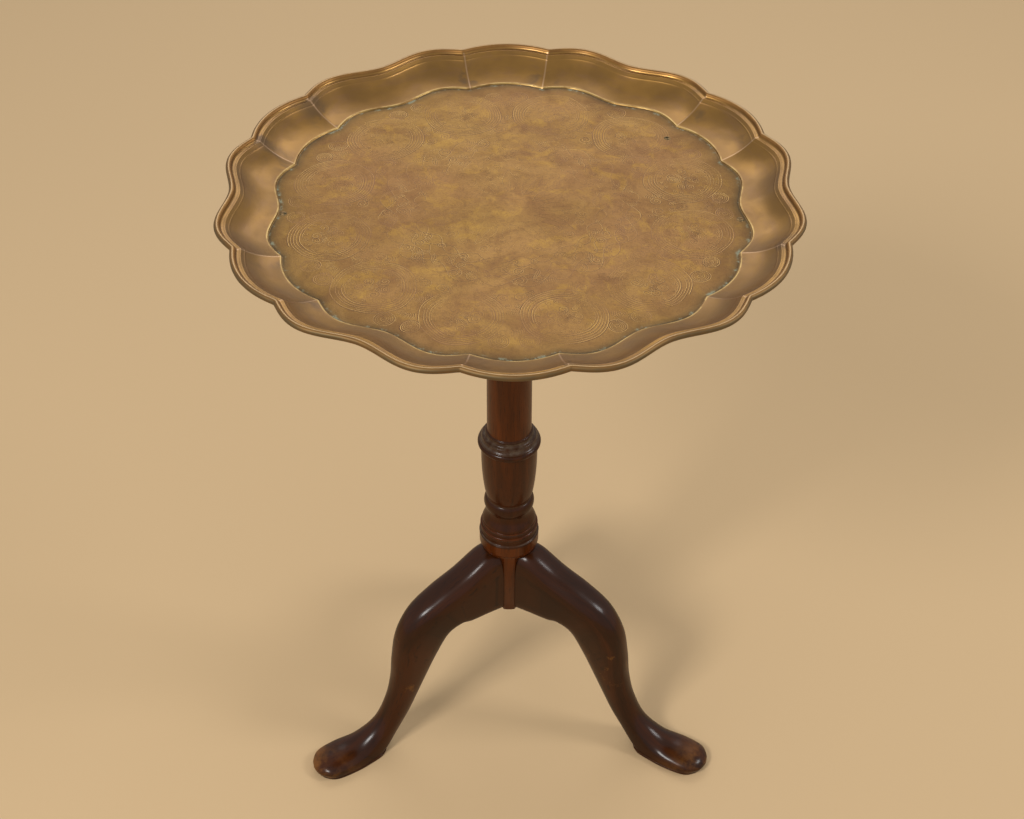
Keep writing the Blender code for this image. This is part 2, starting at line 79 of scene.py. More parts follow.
LOBE_PEAK = 1.043               # outline radius / rim radius in the middle of a lobe
RIM_Z = tray_high[2]
RIM_RADIUS = tray_high[1] / LOBE_PEAK
FLOOR_Z = mount_height("tray_floor")
TRAY_DEPTH = RIM_Z - FLOOR_Z
TOE_RADIUS = leg_high[1]
HUB_BOTTOM = pillar_low[2]
block_low, block_high = node_box("pivot_block")
BLOCK_BOTTOM = block_low[2]
BLOCK_TOP = block_high[2]


# ---- node materials -----------------------------------------------------------------
class Graph:
    """A Principled material and short calls that add nodes to it."""

    def __init__(self, name):
        self.material = bpy.data.materials.new(name)
        self.material.use_nodes = True
        self.tree = self.material.node_tree
        self.shader = self.tree.nodes["Principled BSDF"]
        self.position = self.node("ShaderNodeTexCoord").outputs["Object"]

    def node(self, kind, **settings):
        """Add a node and set its plain properties."""
        made = self.tree.nodes.new(kind)
        for key, value in settings.items():
            setattr(made, key, value)
        return made

    def feed(self, socket, value):
        """Link value to the socket when it is an output, else set it as a constant."""
        if isinstance(value, bpy.types.NodeSocket):
            self.tree.links.new(value, socket)
        else:
            socket.default_value = value

    def set(self, **values):
        """Feed sockets of the shader; underscores in a key stand for spaces."""
        for key, value in values.items():
            self.feed(self.shader.inputs[key.replace("_", " ")], value)

    def math(self, operation, *values, clamp=False):
        made = self.node("ShaderNodeMath", operation=operation, use_clamp=clamp)
        for socket, value in zip(made.inputs, values):
            self.feed(socket, value)
        return made.outputs[0]

    def attribute(self, name):
        return self.node("ShaderNodeAttribute", attribute_name=name).outputs["Fac"]

    def scaled(self, scale, source=None):
        """The position stretched by a vector, to draw a noise out along an axis."""
        made = self.node("ShaderNodeMapping")
        self.feed(made.inputs["Vector"], source or self.position)
        made.inputs["Scale"].default_value = scale
        return made.outputs[0]

    def noise(self, scale, detail=4.0, roughness=0.55, source=None, distortion=0.0):
        made = self.node("ShaderNodeTexNoise")
        self.feed(made.inputs["Vector"], source or self.position)
        made.inputs["Scale"].default_value = scale
        made.inputs["Detail"].default_value = detail
        made.inputs["Roughness"].default_value = roughness
        made.inputs["Distortion"].default_value = distortion
        return made.outputs["Fac"]

    def level(self, value, low, high, to_low=0.0, to_high=1.0):
        """Smoothly map low..high to to_low..to_high, held at both ends."""
        made = self.node("ShaderNodeMapRange", interpolation_type="SMOOTHSTEP")
        for socket, item in zip(made.inputs, (value, low, high, to_low, to_high)):
            self.feed(socket, item)
        return made.outputs[0]

    def mix(self, share, first, second, blend="MIX"):
        made = self.node("ShaderNodeMix", data_type="RGBA", blend_type=blend)
        self.feed(made.inputs[0], share)
        self.feed(made.inputs[6], first)
        self.feed(made.inputs[7], second)
        return made.outputs[2]

    def bump(self, height, strength, distance, normal=None):
        made = self.node("ShaderNodeBump")
        made.inputs["Strength"].default_value = strength
        made.inputs["Distance"].default_value = distance
        self.feed(made.inputs["Height"], height)
        if normal:
            self.feed(made.inputs["Normal"], normal)
        return made.outputs[0]


def linear(value):
    """Linear share of a 0-255 display value."""
    if value > 10:
        return ((value / 255.0 + 0.055) / 1.055) ** 2.4
    return value / 255 / 12.92


def rgb(red, green, blue):
    """Linear colour with full alpha from 0-255 display values."""
    return linear(red), linear(green), linear(blue), 1.0


def corner_bloom(g, across):
    """Mask of the grey-green bits that lie on the floor along the foot of the wall."""
    line = g.math("MULTIPLY", g.level(across, -5.0, -2.0), g.level(across, 0.1, -1.0))
    return g.math("MULTIPLY", line, g.level(g.noise(105.0, 5.0, 0.7), 0.52, 0.64))


def floor_brass():
    """Old engraved brass: olive-gold, finely mottled, darker and greener at the margin."""
    g = Graph("tray_floor_brass")
    across = g.attribute("from_bend")       # mm outwards from the foot of the wall
    clouds = g.noise(6.0, 3.0, 0.5)
    colour = g.mix(g.level(clouds, 0.36, 0.64), rgb(153, 114, 70), rgb(160, 124, 67))
    blotches = g.noise(26.0, 5.0, 0.65, distortion=0.8)
    colour = g.mix(g.level(blotches, 0.46, 0.70, 0.0, 0.50), colour, rgb(141, 102, 70))
    golden = g.noise(44.0, 4.0, 0.6, distortion=1.0)
    colour = g.mix(g.level(golden, 0.50, 0.68, 0.0, 0.45), colour, rgb(182, 142, 66))
    mottle = g.noise(240.0, 3.0, 0.7, distortion=2.2)
    colour = g.mix(g.level(mottle, 0.46, 0.62, 0.0, 0.38), colour, rgb(118, 85, 60))
    colour = g.mix(g.level(across, -34.0, -5.0, 0.0, 0.50), colour, rgb(120, 90, 53))
    # Painted shade and dirt: darker towards the corner where the floor meets the wall, in patches.
    shade = g.level(across, -10.0, -1.5, 0.0, 0.50)
    grime_and_shade = g.math("MULTIPLY_ADD", g.level(across, -3.4, -1.2), 0.35, shade)
    grime_and_shade = g.math("MULTIPLY", grime_and_shade, g.level(across, 0.5, -0.1))
    patchy = g.math("MULTIPLY", grime_and_shade, g.level(g.noise(20.0, 3.0, 0.5), 0.3, 0.6, 0.55, 1.0))
    colour = g.mix(patchy, colour, rgb(78, 66, 46))
    bloom = corner_bloom(g, across)
    colour = g.mix(g.math("MULTIPLY", bloom, 0.65), colour, rgb(134, 142, 116))
    g.set(Base_Color=colour, Metallic=g.math("MULTIPLY_ADD", bloom, -0.8, 1.0))
    g.set(Roughness=g.level(blotches, 0.35, 0.65, 0.44, 0.54))
    g.set(Anisotropic=0.4)
    around = g.node("ShaderNodeTangent", direction_type="RADIAL", axis="Z")
    g.set(Tangent=around.outputs[0])
    normal = g.bump(g.noise(620.0, 3.0, 0.7), 0.30, 0.00015)
    g.set(Normal=g.bump(g.noise(280.0, 2.0, 0.7, distortion=2.2), 0.50, 0.0003, normal))
    return g.material


def wall_brass():
    """Darker satin brass, with painted dark reflections in the hollows beside the creases."""
    g = Graph("tray_wall_brass")
    across = g.attribute("from_bend")
    crease = g.attribute("from_crease")     # mm sideways from the nearest crease
    clouds = g.noise(14.0, 4.0, 0.6)
    colour = g.mix(g.level(clouds, 0.38, 0.64), rgb(142, 106, 57), rgb(158, 118, 60))
    streaks = g.noise(1.0, 3.0, 0.6, g.scaled((40.0, 40.0, 260.0)))
    colour = g.mix(g.level(streaks, 0.45, 0.70, 0.0, 0.35), colour, rgb(142, 106, 74))
    # Painted shade: the lower wall darker towards its foot.
    colour = g.mix(g.level(across, 15.0, 2.0, 0.0, 0.45), colour, rgb(116, 84, 42))
    # Painted reflection: dark patches beside the creases; the same noise also varies the
    # roughness.
    smudges_and_dark_reflections = g.noise(34.0, 3.0, 0.5, distortion=0.8)
    dark = g.math("MULTIPLY", g.level(smudges_and_dark_reflections, 0.50, 0.68), g.level(crease, 26.0, 6.0))
    colour = g.mix(g.math("MULTIPLY", dark, 0.55), colour, rgb(92, 76, 62))
    # Painted highlight: a pale line along each crease.
    ridge = g.level(crease, 1.3, 0.1)
    colour = g.mix(g.math("MULTIPLY", ridge, 0.45), colour, rgb(206, 168, 134))
    # Painted highlight: a bright line on the step at the foot of the wall, broken into patches.
    fillet = g.math("MULTIPLY", g.level(across, 2.2, 1.0), g.level(across, -0.4, 0.3))
    worn = g.level(g.noise(48.0, 3.0, 0.6), 0.35, 0.6, 0.1, 0.9)
    colour = g.mix(g.math("MULTIPLY", fillet, worn), colour, rgb(192, 160, 100))
    g.set(Base_Color=colour, Metallic=1.0)
    g.set(Roughness=g.level(smudges_and_dark_reflections, 0.4, 0.7, 0.34, 0.46))
    g.set(Coat_Weight=0.22, Coat_Roughness=0.26)
    normal = g.bump(g.noise(500.0, 3.0, 0.6), 0.15, 0.0001)
    g.set(Normal=g.bump(g.noise(80.0, 3.0, 0.5), 0.18, 0.0004, normal))
    return g.material


def rim_brass():
    """The bead: brown-gold with a painted highlight along the crest, grey-brown on the outside."""
    g = Graph("rim_brass")
    outward = g.attribute("past_crest")     # mm along the sheet beyond the bead's crest
    blotches = g.noise(60.0, 5.0, 0.6)
    colour = g.mix(g.level(blotches, 0.35, 0.65), rgb(138, 100, 58), rgb(154, 113, 64))
    # Painted highlight: a pale band along the bead's crest.
    crest_highlight = g.math("MULTIPLY", g.level(outward, -1.0, -0.1), g.level(outward, 0.9, 0.1))
    colour = g.mix(g.math("MULTIPLY", crest_highlight, 0.6), colour, rgb(212, 184, 142))
    dull = g.level(outward, 0.6, 2.6)
    patchy = g.math("MULTIPLY", dull, g.level(g.noise(38.0, 4.0, 0.6), 0.25, 0.6, 0.45, 0.9))
    colour = g.mix(patchy, colour, rgb(104, 88, 60))
    g.set(Base_Color=colour, Metallic=g.math("MULTIPLY_ADD", patchy, -0.30, 1.0))
    g.set(Roughness=g.level(dull, 0.0, 1.0, 0.46, 0.54))
    g.set(Normal=g.bump(g.noise(420.0, 3.0, 0.6), 0.20, 0.00012))
    return g.material


def engraved(name, worn, dark):
    """One flank of the engraved lines, patchy where the tray has been polished."""
    g = Graph(name)
    wear = g.noise(22.0, 4.0, 0.6)
    g.set(Base_Color=g.mix(g.level(wear, 0.40, 0.62), dark, worn), Metallic=1.0)
    g.set(Roughness=0.42)
    g.set(Normal=g.bump(g.noise(700.0, 2.0, 0.6), 0.2, 0.0001))
    return g.material


def wood(name, dark, light, gloss, grain_axis="z", pore=0.55, wear=None):
    """Mahogany: ribbon figure and short pores drawn out along the grain."""
    g = Graph(name)
    if grain_axis == "path":
        source = g.node("ShaderNodeUVMap", uv_map="grain").outputs[0]
        figure_map = g.scaled((9.0, 60.0, 1.0), source)
        pore_map = g.scaled((70.0, 900.0, 1.0), source)
    else:
        figure_map = g.scaled([12.0 if axis == grain_axis else 120.0 for axis in "xyz"])
        pore_map = g.scaled([55.0 if axis == grain_axis else 1100.0 for axis in "xyz"])
    figure = g.noise(1.0, 4.0, 0.55, figure_map, 0.6)
    pores = g.noise(1.0, 2.0, 0.6, pore_map)
    clouds = g.noise(11.0, 3.0, 0.5)
    colour = g.mix(g.level(figure, 0.28, 0.74, 0.20, 0.80), dark, light)
    colour = g.mix(g.level(clouds, 0.40, 0.70, 0.0, 0.25), colour, dark)
    colour = g.mix(g.level(pores, 0.56, 0.70, 0.0, pore), colour, rgb(22, 10, 6))
    if wear:
        colour = wear(g, colour)
    g.set(Base_Color=colour, Roughness=g.level(clouds, 0.3, 0.7, 0.34, 0.46))
    g.set(Coat_Weight=gloss, Coat_Roughness=0.20, Specular_IOR_Level=0.05)
    normal = g.bump(pores, 0.30, 0.00008)
    g.set(Normal=g.bump(g.noise(26.0, 2.0, 0.5), 0.12, 0.0012, normal))
    return g.material


def pillar_wear(g, colour):
    """Mouldings gone nearly black, with grey dust in their hollows."""
    dusty = g.attribute("hollow")
    colour = g.mix(g.level(dusty, 0.02, 0.22, 0.0, 0.65), colour, rgb(34, 18, 8))
    speckle = g.level(g.noise(150.0, 4.0, 0.7), 0.35, 0.7, 0.2, 0.85)
    return g.mix(g.math("MULTIPLY", g.level(dusty, 0.3, 1.0), speckle), colour, rgb(88, 74, 60))


def leg_wear(g, colour):
    """Amber worn through on the toes, small worn places on the knees."""
    along = g.attribute("along")
    patch = g.level(g.noise(34.0, 4.0, 0.65), 0.36, 0.62)
    toe = g.math("MULTIPLY", g.level(along, 0.84, 1.0), patch)
    colour = g.mix(g.math("MULTIPLY", toe, 0.7), colour, rgb(132, 82, 32))
    knee = g.math("MULTIPLY", g.level(along, 0.30, 0.42), g.level(along, 0.62, 0.48))
    rub = g.level(g.noise(60.0, 5.0, 0.7), 0.58, 0.72)
    return g.mix(g.math("MULTIPLY", knee, g.math("MULTIPLY", rub, 0.6)), colour,
                 rgb(120, 76, 26))


def fitting_metal(name, colour, stain, roughness):
    """Old cast or drawn metal, stained in fine spots."""
    g = Graph(name)
    spots = g.noise(260.0, 5.0, 0.65)
    tint = g.mix(g.level(spots, 0.42, 0.66), colour, stain)
    g.set(Base_Color=tint, Metallic=1.0)
    g.set(Roughness=g.level(spots, 0.3, 0.7, roughness - 0.08, roughness + 0.14))
    g.set(Normal=g.bump(g.noise(900.0, 3.0, 0.6), 0.2, 0.00008))
    return g.material


DARK_MAHOGANY, RED_MAHOGANY = rgb(54, 23, 3), rgb(98, 45, 7)
materials = {
    "floor": floor_brass(),
    "wall": wall_brass(),
    "rim": rim_brass(),
    "groove": engraved("engraved_groove", rgb(124, 88, 64), rgb(88, 60, 46)),
    "burr": engraved("engraved_burr", rgb(170, 132, 76), rgb(206, 168, 102)),
    "pillar": wood("pillar_mahogany", DARK_MAHOGANY, RED_MAHOGANY, 0.34, "z", wear=pillar_wear),
    "leg": wood("leg_mahogany", rgb(24, 9, 2), rgb(72, 32, 5), 0.46, "path", wear=leg_wear),
    "sole": wood("sole_mahogany", rgb(40, 20, 10), rgb(84, 48, 22), 0.20, "x"),
    "board": wood("board_mahogany", rgb(86, 50, 30), rgb(134, 86, 54), 0.10, "y", 0.4),
    "block": wood("block_mahogany", rgb(70, 38, 22), rgb(118, 70, 42), 0.15, "x", 0.4),
    "fitting": fitting_metal("fitting_brass_dull", rgb(176, 140, 82), rgb(112, 88, 56), 0.40),
    "tray_screw": fitting_metal("tray_screw_tarnished", rgb(150, 122, 84), rgb(74, 72, 54), 0.46),
    "steel": fitting_metal("screw_steel_dull", rgb(120, 116, 110), rgb(70, 56, 46), 0.45),
    "iron": fitting_metal("plate_iron_dark", rgb(58, 54, 52), rgb(70, 44, 32), 0.60),
}


# ---- mesh helpers ---------------------------------------------------------------------
def make_object(name, points, faces, looks, face_looks=None):
    """A smooth-shaded mesh object from points in mm; face_looks picks among looks."""
    mesh = bpy.data.meshes.new(name)
    mesh.from_pydata([tuple(p) for p in np.asarray(points) * MM], [], faces)
    for look in looks:
        mesh.materials.append(materials[look])
    if face_looks is not None:
        mesh.polygons.foreach_set("material_index", face_looks)
    mesh.shade_smooth()
    mesh.update()
    obj = bpy.data.objects.new(name, mesh)
    bpy.context.scene.collection.objects.link(obj)
    return obj


def add_attribute(obj, name, values):
    """Give each point of a mesh a number that its material reads."""
    attribute = obj.data.attributes.new(name, "FLOAT", "POINT")
    attribute.data.foreach_set("value", np.asarray(values, dtype=np.float32))


def grid_faces(rows, columns, wrap=True):
    """Quads over rows x columns of points, the columns closing into rings."""
    faces = []
    for i in range(rows - 1):
        for j in range(columns if wrap else columns - 1):
            k = (j + 1) % columns
            faces.append((i * columns + j, i * columns + k,
                          (i + 1) * columns + k, (i + 1) * columns + j))
    return faces


def catmull(points, per_span):
    """Smooth curve through points, per_span samples from each point to the next."""
    points = np.asarray(points, dtype=float)
    ends = np.vstack([2 * points[0] - points[1], points, 2 * points[-1] - points[-2]])
    t = (np.arange(per_span) / per_span)[:, None]
    spans = []
    for p0, p1, p2, p3 in zip(ends, ends[1:], ends[2:], ends[3:]):
        spans.append(0.5 * (2 * p1 + (p2 - p0) * t + (2 * p0 - 5 * p1 + 4 * p2 - p3) * t ** 2
                            + (3 * p1 - p0 - 3 * p2 + p3) * t ** 3))
    return np.vstack([*spans, points[-1:]])


def arc(centre, radius, start, end, count):
    """Points of a circular arc, angles in degrees."""
    a = np.radians(np.linspace(start, end, count))
    return [(centre[0] + radius * math.cos(v), centre[1] + radius * math.sin(v)) for v in a]


def turn_about_z(azimuth):
    """Matrix that turns rows of points from the +X direction round to an azimuth."""
    a = math.radians(azimuth)
    return np.array([[math.cos(a), math.sin(a), 0], [-math.sin(a), math.cos(a), 0], [0, 0, 1]])


# ---- brass tray -------------------------------------------------------------------------
PERIOD = 60.0                   # degrees from one lobe to the next
LOBE_HALF_ANGLE = 9.7           # degrees from the middle of a lobe to a crease
LOBE_ARC = 0.350                # a lobe's arc radius / rim radius
WAVE_MEAN = 1.0165              # middle radius of the long waves / rim radius
WAVE_SWING = 0.0255             # how far the waves swing from it / rim radius
WAVE_HALF_PERIOD = 13.0         # degrees
FLOOR_SCALE = 0.827             # floor outline / outer outline
FLOOR_SHARES = (0.30, 0.55, 0.75, 0.85, 0.91, 0.95, 0.97, 0.982)    # rings of the floor
SHEET = 1.2                     # thickness of the brass
WALL_INSET = 10.4               # from the outer edge in to the top of the wall
WALL_TOP = 4.15                 # depth of the wall's top below the bead's crest
LINE_BELOW_TOP = 2.8            # a fine raised line runs round the wall under its top
CREASE_SOFTNESS = 0.30          # degrees over which a crease is rounded
LINE_HEIGHT, LINE_SPREAD = 0.22, 0.45
STEP_OUT, STEP_UP = 1.1, 1.2    # low round step at the foot of the wall
WALL_FOOT_SLOPE = 12.0          # degrees from the floor
WALL_TOP_SLOPE = 42.0
BEAD_RADIUS = 2.8
INSIDE_RIM = -60.0              # past_crest on the floor, well away from the bead
OUTSIDE_WALL = 40.0             # from_bend on the rim, well away from the wall's foot


def angle_from_lobe(azimuth):
    """Degrees from the middle of the nearest lobe; one lobe is at the front."""
    return np.abs((azimuth + PERIOD) % PERIOD - PERIOD / 2)


def outline_radius(azimuth):
    """Outer edge of the tray: six short lobes joined by long waves, meeting in creases."""
    from_lobe = angle_from_lobe(azimuth)
    past = from_lobe - LOBE_HALF_ANGLE
    soft = np.sqrt(past ** 2 + CREASE_SOFTNESS ** 2) - CREASE_SOFTNESS
    from_lobe = LOBE_HALF_ANGLE + np.sign(past) * soft
    a = np.radians(np.minimum(from_lobe, LOBE_HALF_ANGLE))
    centre = LOBE_PEAK - LOBE_ARC
    lobe = centre * np.cos(a) + np.sqrt(LOBE_ARC ** 2 - (centre * np.sin(a)) ** 2)
    wave = WAVE_MEAN - WAVE_SWING * np.cos(np.pi * (PERIOD / 2 - from_lobe) / WAVE_HALF_PERIOD)
    return RIM_RADIUS * np.where(past <= 0.0, lobe, wave)


def outline_azimuths(per_lobe=20, per_wave=42):
    """Even steps round the outline, with closer ones at the twelve creases."""
    crease, clear = LOBE_HALF_ANGLE, 1.8
    near = np.array([-1.2, -0.7, -0.4, -0.2, 0.0, 0.2, 0.4, 0.7, 1.2])
    lobe = np.linspace(-crease + clear, crease - clear, per_lobe)
    wave = np.linspace(crease + clear, PERIOD - crease - clear, per_wave)
    period = np.concatenate([-crease + near, lobe, crease + near, wave])
    return (-90.0 + PERIOD * np.arange(6)[:, None] + period[None, :]).ravel()


def wall_profile(width, height, steps=14):
    """(distance out, height) from the floor over the step and up the hollow wall."""
    foot, top = math.radians(WALL_FOOT_SLOPE), math.radians(WALL_TOP_SLOPE)
    step = [(-0.4, 0.0), (-0.15, 0.05), (0.0, 0.22), (0.10, 0.55), (0.25, 0.86), (0.48, 1.07),
            (0.78, 1.16), (STEP_OUT, STEP_UP)]
    p0, p3 = np.array(step[-1]), np.array([width, height])
    reach = 0.38 * np.linalg.norm(p3 - p0)
    p1 = p0 + reach * np.array([math.cos(foot), math.sin(foot)])
    p2 = p3 - reach * np.array([math.cos(top), math.sin(top)])
    t = np.linspace(0.0, 1.0, 60)[:, None]      # along a Bezier curve up the hollow
    curve = ((1 - t) ** 3 * p0 + 3 * (1 - t) ** 2 * t * p1 + 3 * (1 - t) * t ** 2 * p2
             + t ** 3 * p3)
    line = width - LINE_BELOW_TOP
    out = np.union1d(np.linspace(STEP_OUT, width, steps)[1:],
                     line + np.array([-1.0, -0.6, -0.3, 0.0, 0.3, 0.6, 1.0]))
    raised = LINE_HEIGHT * np.exp(-((out - line) / LINE_SPREAD) ** 2)
    return [*step, *zip(out, np.interp(out, curve[:, 0], curve[:, 1]) + raised)]


def ledge_profile():
    """(inset, depth) over the fine line at the top of the wall and the hollow."""
    return [(10.0, 3.82), (9.6, 3.72), (9.1, 3.74), (8.5, 3.84), (7.4, 3.86), (6.6, 3.72),
            (6.0, 3.36)]


def bead_profile():
    """(inset, depth) round the bead at the edge, curling under on the outside."""
    return [(BEAD_RADIUS * (1 - math.cos(math.radians(a))),
             BEAD_RADIUS * (1 - math.sin(math.radians(a))))
            for a in (168, 152, 138, 122, 106, 90, 74, 58, 42, 26, 10, -8, -26, -42, -56)]


def rim_rows():
    """(inset, depth, distance past the bead's crest) from the wall's top to the lip."""
    rim = [(WALL_INSET, WALL_TOP), *ledge_profile(), *bead_profile()]
    crest = rim.index(min(rim, key=lambda place: place[1]))
    travelled = -sum(math.dist(a, b) for a, b in zip(rim[:crest], rim[1:crest + 1]))
    rows = []
    for last, place in zip(rim, rim[1:]):
        travelled += math.dist(place, last)
        rows.append((*place, travelled))
    return rows


def tray_rows(outline):
    """(radii, depth, from_bend, past_crest, look) of every ring, from the middle out."""
    rows = []
    for share in FLOOR_SHARES:
        rows.append((outline * FLOOR_SCALE * share, TRAY_DEPTH,
                     (share - 1.0) * RIM_RADIUS * FLOOR_SCALE, INSIDE_RIM, 0))
    wall_width = RIM_RADIUS * (1.0 - FLOOR_SCALE) - WALL_INSET
    for out, height in wall_profile(wall_width, TRAY_DEPTH - WALL_TOP):
        share = out / wall_width
        scale = FLOOR_SCALE + (1.0 - FLOOR_SCALE) * share
        rows.append((outline * scale - WALL_INSET * share, TRAY_DEPTH - height, out,
                     -40.0 + 20.0 * share, 1))
    ledge_count = len(ledge_profile())
    for k, (inset, depth, past) in enumerate(rim_rows()):
        rows.append((outline - inset, depth, OUTSIDE_WALL, past, 1 if k < ledge_count else 2))
    return rows


def crease_distance(azimuths):
    """Distance sideways from the nearest crease, along the rim."""
    past = np.abs(angle_from_lobe(azimuths) - LOBE_HALF_ANGLE)
    return past * RIM_RADIUS * TAU / 360.0


def build_tray():
    """The whole tray as one sheet, from the middle of its floor to the lip of its bead."""
    azimuths = outline_azimuths()
    count = len(azimuths)
    radii, depths, from_bend, past_crest, look_of_row = zip(*tray_rows(outline_radius(azimuths)))
    rows = len(radii)
    a = np.radians(azimuths)
    rings = [np.stack([r * np.cos(a), r * np.sin(a), np.full(count, RIM_Z - d)], 1)
             for r, d in zip(radii, depths)]
    points = np.vstack([*rings, [[0.0, 0.0, FLOOR_Z]]])
    faces = grid_faces(rows, count)
    faces += [((j + 1) % count, j, rows * count) for j in range(count)]
    looks = np.zeros(len(faces), dtype=np.int32)
    looks[: (rows - 1) * count] = np.repeat(look_of_row[:-1], count)
    tray = make_object("pie_crust_tray", points, [tuple(reversed(f)) for f in faces],
                       ["floor", "wall", "rim"], looks)
    add_attribute(tray, "from_bend", np.append(np.repeat(from_bend, count), -200.0))
    add_attribute(tray, "past_crest", np.append(np.repeat(past_crest, count), INSIDE_RIM))
    add_attribute(tray, "from_crease", np.append(np.tile(crease_distance(azimuths), rows), 30.0))
    sheet = tray.modifiers.new("sheet", "SOLIDIFY")
    sheet.thickness = SHEET * MM
    sheet.offset = -1.0
    sheet.use_even_offset = True
    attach(tray, "top")
    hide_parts("brass_tray")


# ---- engraving ----------------------------------------------------------------------------
HAIR, FINE, BOLD = 0.50, 0.68, 0.92     # widths of the engraved lines
LINE_LIFT, LINE_RIDGE = 0.012, 0.05     # height of a line's edges and ridge over the floor
ROUNDEL_CENTRE, ROUNDEL_RADIUS = 166.0, 36.8


def circle(x, y, radius, points=64, start=0.0, sweep=360.0):
    """A circle, or the part of one from start over sweep degrees."""
    a = np.radians(np.linspace(start, start + sweep, points))
    return np.stack([x + radius * np.cos(a), y + radius * np.sin(a)], 1)


def spiral(x, y, outer, inner, start, turns, points=90):
    """A scroll winding inwards; negative turns wind clockwise."""
    t = np.linspace(0.0, 1.0, points)
    radius = outer + (inner - outer) * t ** 0.85
    a = np.radians(start) + TAU * turns * t
    return np.stack([x + radius * np.cos(a), y + radius * np.sin(a)], 1)


def leaf(x, y, direction, length, width):
    """Outline and midrib of a pointed leaf."""
    t = np.linspace(0.0, 1.0, 14)
    side = width * np.sin(np.pi * t ** 0.8)
    d = math.radians(direction)
    along, across = np.array([math.cos(d), math.sin(d)]), np.array([-math.sin(d), math.cos(d)])
    base = np.array([x, y])
    edges = [base + length * t[:, None] * along + s * side[:, None] * across for s in (1, -1)]
    rib = base + length * np.linspace(0.05, 0.8, 6)[:, None] * along
    return [*edges, rib]


def turned_about_centre(line, degrees, mirror=False):
    """The line turned about the tray's middle, or its mirror image turned."""
    a = math.radians(degrees)
    x, y = line[:, 0], (-line[:, 1] if mirror else line[:, 1])
    return np.stack([x * math.cos(a) - y * math.sin(a), x * math.sin(a) + y * math.cos(a)], 1)


